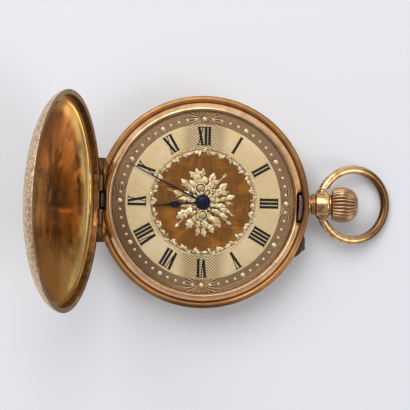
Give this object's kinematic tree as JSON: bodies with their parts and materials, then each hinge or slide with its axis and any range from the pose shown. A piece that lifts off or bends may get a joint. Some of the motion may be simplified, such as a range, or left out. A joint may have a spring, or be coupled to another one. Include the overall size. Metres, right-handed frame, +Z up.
{
  "type": "pocket watch",
  "caption": "Full hunter pocket watch with its hinged cover open, crown with cover release, set push, bow, glazed dial with spade hands, inner dust cover and keyless lever movement",
  "frame": {"origin": "centre of the flat under the back cover that the watch lies on", "axes": "+Z up out of the dial, +X from the case centre to the pendant and crown, +Y to twelve on the dial"},
  "size_m": [0.0566, 0.034, 0.0392],
  "materials": {
    "case_gold": "polished rose gold",
    "cover_gold": "engraved outside, mirror inside",
    "bezel_gold": "polished",
    "crystal": "clear",
    "spring_steel": "brushed",
    "hand_steel": "blued",
    "dial_gold": "champagne, engine turned",
    "gilt_brass": "frosted gilt",
    "wheel_brass": "circular grained",
    "polished_steel": "polished",
    "blued_steel": "blued",
    "ruby": "polished",
    "balance_gold": "polished"
  },
  "bodies": {
    "case": {"case_middle": "case_gold", "bezel": "bezel_gold", "crystal": "crystal", "pendant": "case_gold", "push_guard": "spring_steel", "front_hinge_pins": "spring_steel", "back_hinge_pin": "spring_steel", "cuvette_hinge_pin": "spring_steel", "spring_screws": "blued_steel", "movement_screws": "blued_steel", "dial": "dial_gold", "main_plate": "gilt_brass", "barrel_bridge": "gilt_brass", "train_bridge": "gilt_brass", "balance_cock": "gilt_brass", "pallet_bridge": "gilt_brass", "click_spring": "polished_steel", "hairspring": "blued_steel", "jewels": "ruby", "bridge_screws": "blued_steel", "wheel_screws": "blued_steel"},
    "front_cover": {"front_cover": "cover_gold"},
    "back_cover": {"back_cover": "cover_gold"},
    "cuvette": {"cuvette": "bezel_gold"},
    "lift_spring": {"lift_spring": "spring_steel"},
    "lock_spring": {"lock_spring": "spring_steel"},
    "bow": {"bow": "case_gold"},
    "push_sleeve": {"push_sleeve": "case_gold"},
    "crown": {"crown": "case_gold", "winding_stem": "polished_steel"},
    "winding_pinion": {"winding_pinion": "polished_steel"},
    "sliding_pinion": {"sliding_pinion": "polished_steel"},
    "crown_wheel": {"crown_wheel": "polished_steel"},
    "ratchet": {"ratchet_wheel": "polished_steel", "barrel_arbor": "polished_steel"},
    "click": {"click": "polished_steel"},
    "set_push": {"set_push": "spring_steel"},
    "set_yoke": {"set_yoke": "polished_steel"},
    "minute_hand": {"minute_hand": "hand_steel", "cannon_pinion": "hand_steel"},
    "hour_hand": {"hour_hand": "hand_steel", "hour_wheel": "wheel_brass"},
    "minute_wheel": {"minute_wheel": "wheel_brass"},
    "setting_wheel": {"setting_wheel": "polished_steel"},
    "barrel": {"barrel": "wheel_brass", "mainspring": "blued_steel"},
    "centre_wheel": {"centre_wheel": "wheel_brass"},
    "third_wheel": {"third_wheel": "wheel_brass"},
    "fourth_wheel": {"fourth_wheel": "wheel_brass"},
    "escape_wheel": {"escape_wheel": "wheel_brass"},
    "pallet_fork": {"pallet_fork": "polished_steel"},
    "balance": {"balance_wheel": "balance_gold", "balance_staff": "polished_steel"},
    "regulator": {"regulator": "polished_steel"}
  },
  "joints": [
    {"name": "front_cover_hinge", "type": "hinge", "parent": "case", "child": "front_cover", "pos_m": [-0.01655, 0, 0.0066], "axis": [0, 1, 0], "range_deg": [0, 103.5]},
    {"name": "lift_spring_flex", "type": "hinge", "parent": "case", "child": "lift_spring", "pos_m": [-0.01003, -0.01195, 0.006], "axis": [0, 0, 1], "range_deg": [-2.5, 0]},
    {"name": "back_cover_hinge", "type": "hinge", "parent": "case", "child": "back_cover", "pos_m": [-0.01655, 0, 0.003], "axis": [0, 1, 0], "range_deg": [0, 95]},
    {"name": "cuvette_hinge", "type": "hinge", "parent": "case", "child": "cuvette", "pos_m": [-0.01535, 0, 0.00315], "axis": [0, 1, 0], "range_deg": [0, 75]},
    {"name": "bow_swing", "type": "hinge", "parent": "case", "child": "bow", "pos_m": [0.0192, 0, 0.0044], "axis": [0, 1, 0], "range_deg": [-110, 70]},
    {"name": "crown_press", "type": "slide", "parent": "case", "child": "push_sleeve", "axis": [-1, 0, 0], "range_m": [0, 0.0004], "stiffness_N_per_m": 100},
    {"name": "lock_spring_flex", "type": "hinge", "parent": "case", "child": "lock_spring", "pos_m": [0.01003, 0.01195, 0.006], "axis": [0, 0, 1], "range_deg": [-1.1, 0]},
    {"name": "crown_turn", "type": "hinge", "parent": "push_sleeve", "child": "crown", "pos_m": [0.0228, 0, 0.0044], "axis": [1, 0, 0], "continuous": true},
    {"name": "winding_pinion_turn", "type": "hinge", "parent": "case", "child": "winding_pinion", "pos_m": [0.0119, 0, 0.0044], "axis": [1, 0, 0], "continuous": true},
    {"name": "crown_wheel_turn", "type": "hinge", "parent": "case", "child": "crown_wheel", "pos_m": [0.0094, 0, 0.0023], "axis": [0, 0, 1], "continuous": true},
    {"name": "ratchet_turn", "type": "hinge", "parent": "case", "child": "ratchet", "pos_m": [0.00476, 0.00255, 0.0023], "axis": [0, 0, 1], "continuous": true},
    {"name": "click_pivot", "type": "hinge", "parent": "case", "child": "click", "pos_m": [0.00313, 0.00659, 0.0022], "axis": [0, 0, 1], "range_deg": [0, 9]},
    {"name": "set_push_slide", "type": "slide", "parent": "case", "child": "set_push", "axis": [-0.9164, 0.4003, 0], "range_m": [0, 0.00035], "stiffness_N_per_m": 20},
    {"name": "sliding_pinion_slide", "type": "slide", "parent": "winding_pinion", "child": "sliding_pinion", "axis": [-1, 0, 0], "range_m": [0, 0.00045]},
    {"name": "set_yoke_turn", "type": "hinge", "parent": "case", "child": "set_yoke", "pos_m": [0.0102, -0.0056, 0.004], "axis": [0, 0, 1], "range_deg": [0, 5.6]},
    {"name": "minute_hand_turn", "type": "hinge", "parent": "case", "child": "minute_hand", "pos_m": [0, 0, 0.007], "axis": [0, 0, 1], "continuous": true},
    {"name": "hour_hand_turn", "type": "hinge", "parent": "case", "child": "hour_hand", "pos_m": [0, 0, 0.0065], "axis": [0, 0, 1], "continuous": true},
    {"name": "minute_wheel_turn", "type": "hinge", "parent": "case", "child": "minute_wheel", "pos_m": [0.00189, -0.00148, 0.0058], "axis": [0, 0, 1], "continuous": true},
    {"name": "setting_wheel_turn", "type": "hinge", "parent": "case", "child": "setting_wheel", "pos_m": [0.00645, 0, 0.0056], "axis": [0, 0, 1], "continuous": true},
    {"name": "fourth_wheel_turn", "type": "hinge", "parent": "case", "child": "fourth_wheel", "pos_m": [-0.00391, -0.00178, 0.0035], "axis": [0, 0, 1], "continuous": true},
    {"name": "third_wheel_turn", "type": "hinge", "parent": "case", "child": "third_wheel", "pos_m": [-0.00338, 0.00123, 0.0035], "axis": [0, 0, 1], "continuous": true},
    {"name": "centre_wheel_turn", "type": "hinge", "parent": "case", "child": "centre_wheel", "pos_m": [0, 0, 0.0035], "axis": [0, 0, 1], "continuous": true},
    {"name": "barrel_turn", "type": "hinge", "parent": "case", "child": "barrel", "pos_m": [0.00476, 0.00255, 0.0035], "axis": [0, 0, 1], "continuous": true},
    {"name": "escape_wheel_turn", "type": "hinge", "parent": "case", "child": "escape_wheel", "pos_m": [-0.00247, -0.00428, 0.0035], "axis": [0, 0, 1], "continuous": true},
    {"name": "balance_swing", "type": "hinge", "parent": "case", "child": "balance", "pos_m": [0.00199, -0.00686, 0.0035], "axis": [0, 0, 1], "range_deg": [-220, 220]},
    {"name": "pallet_fork_swing", "type": "hinge", "parent": "case", "child": "pallet_fork", "pos_m": [-0.00052, -0.00541, 0.0035], "axis": [0, 0, 1], "range_deg": [-5, 5]},
    {"name": "regulator_turn", "type": "hinge", "parent": "case", "child": "regulator", "pos_m": [0.00199, -0.00686, 0.0019], "axis": [0, 0, 1], "range_deg": [-25, 25]}
  ],
  "couplings": [
    {"joint": "lift_spring_flex", "follows": "front_cover_hinge", "ratio": -0.0187},
    {"joint": "cuvette_hinge", "follows": "back_cover_hinge", "ratio": 0.75},
    {"joint": "lock_spring_flex", "follows": "crown_press", "rad_per_m": -42},
    {"joint": "winding_pinion_turn", "follows": "crown_turn", "ratio": 1},
    {"joint": "crown_wheel_turn", "follows": "crown_turn", "ratio": 0.70833},
    {"joint": "ratchet_turn", "follows": "crown_turn", "ratio": -0.58621},
    {"joint": "sliding_pinion_slide", "follows": "set_push_slide", "ratio": 1.2857},
    {"joint": "set_yoke_turn", "follows": "set_push_slide", "rad_per_m": 273.6},
    {"joint": "minute_wheel_turn", "follows": "minute_hand_turn", "ratio": -0.33333},
    {"joint": "hour_hand_turn", "follows": "minute_hand_turn", "ratio": 0.083333},
    {"joint": "setting_wheel_turn", "follows": "minute_hand_turn", "ratio": 0.2},
    {"joint": "third_wheel_turn", "follows": "fourth_wheel_turn", "ratio": -0.13333},
    {"joint": "centre_wheel_turn", "follows": "fourth_wheel_turn", "ratio": 0.016667},
    {"joint": "barrel_turn", "follows": "fourth_wheel_turn", "ratio": -0.0020833},
    {"joint": "escape_wheel_turn", "follows": "fourth_wheel_turn", "ratio": -10},
    {"joint": "pallet_fork_swing", "follows": "balance_swing", "ratio": 0.022727}
  ]
}
